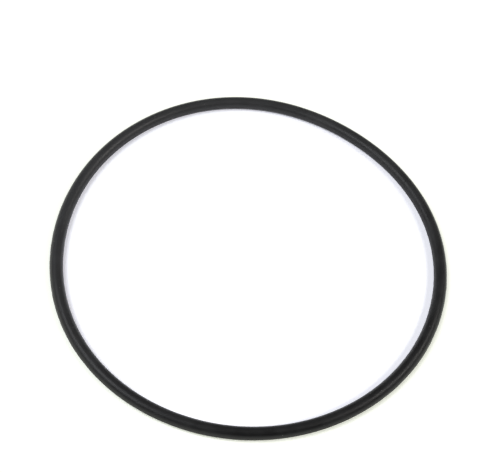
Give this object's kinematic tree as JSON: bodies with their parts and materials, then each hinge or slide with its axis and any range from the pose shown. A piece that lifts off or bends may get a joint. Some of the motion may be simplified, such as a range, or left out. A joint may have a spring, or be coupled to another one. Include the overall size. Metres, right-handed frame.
{
  "type": "rubber o-ring",
  "caption": "Thin round ring of black rubber cord with a faint trimmed moulding line, for sealing a round joint.",
  "frame": {"origin": "the ring's centre, on the plane halfway through the cord, where the two mould halves parted", "axes": "+Z along the ring's axis; the two faces are the same, and X and Y lie in the ring's plane"},
  "size_m": [0.1116, 0.1116, 0.0036],
  "materials": {
    "rubber": "satin moulded black rubber, as moulded, undusted"
  },
  "bodies": {
    "root": {"o_ring": "rubber"}
  },
  "joints": []
}
